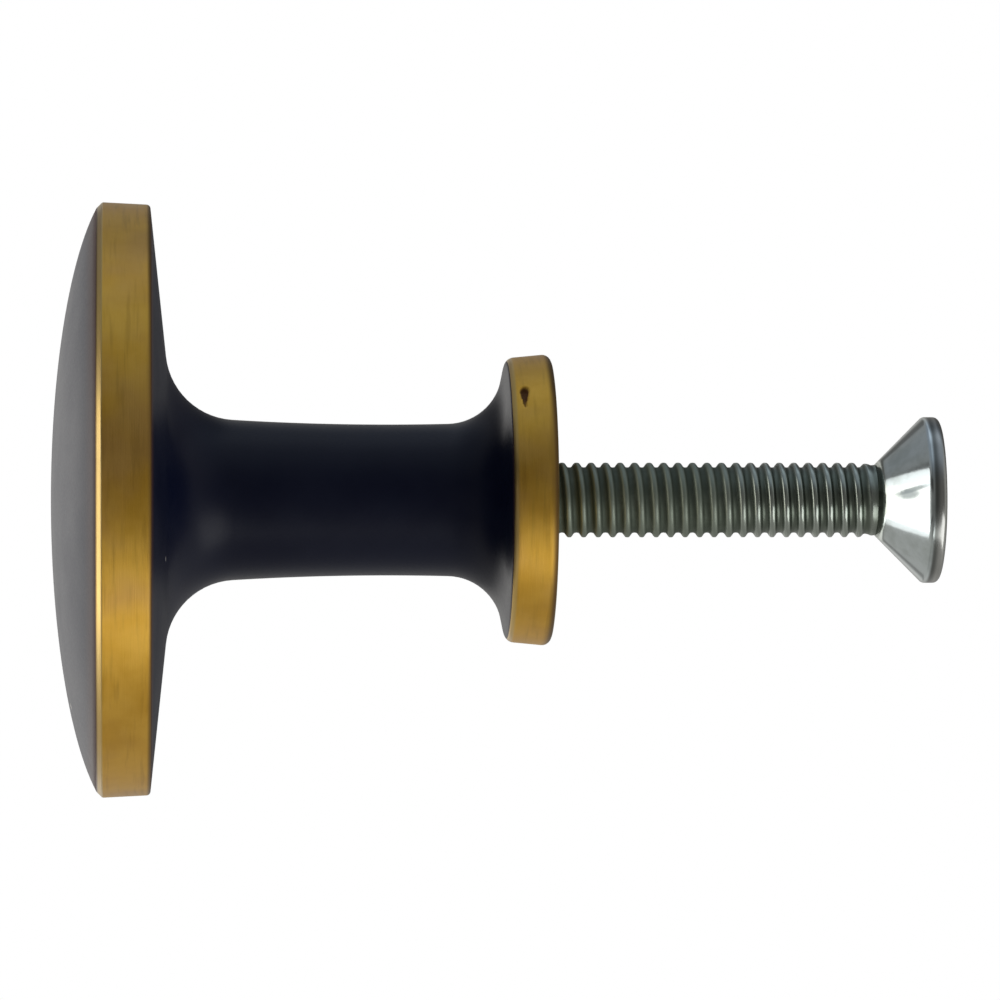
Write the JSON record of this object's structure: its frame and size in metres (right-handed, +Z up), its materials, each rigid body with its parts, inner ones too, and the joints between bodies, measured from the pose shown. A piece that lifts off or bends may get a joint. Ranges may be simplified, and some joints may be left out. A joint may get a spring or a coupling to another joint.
{
  "type": "cabinet knob",
  "caption": "Round cabinet knob with a shallow domed head, bare brass edge bands, a waisted stem and a round foot, held from behind by a countersunk machine screw.",
  "frame": {"origin": "centre of the foot's seating face, on the front of the door", "axes": "+Y runs into the door along the fixing screw, -Y points out of the door towards the dome, +Z is up the door and +X completes the right-handed frame"},
  "size_m": [0.0285, 0.0427, 0.0284],
  "materials": {
    "blackened_brass": "blue-black satin finish over turned brass, with the rim and the foot's edge left as bare brushed brass",
    "plated_steel": "bright zinc plating"
  },
  "bodies": {
    "root": {"knob_body": "blackened_brass", "fixing_screw": "plated_steel"}
  },
  "joints": []
}
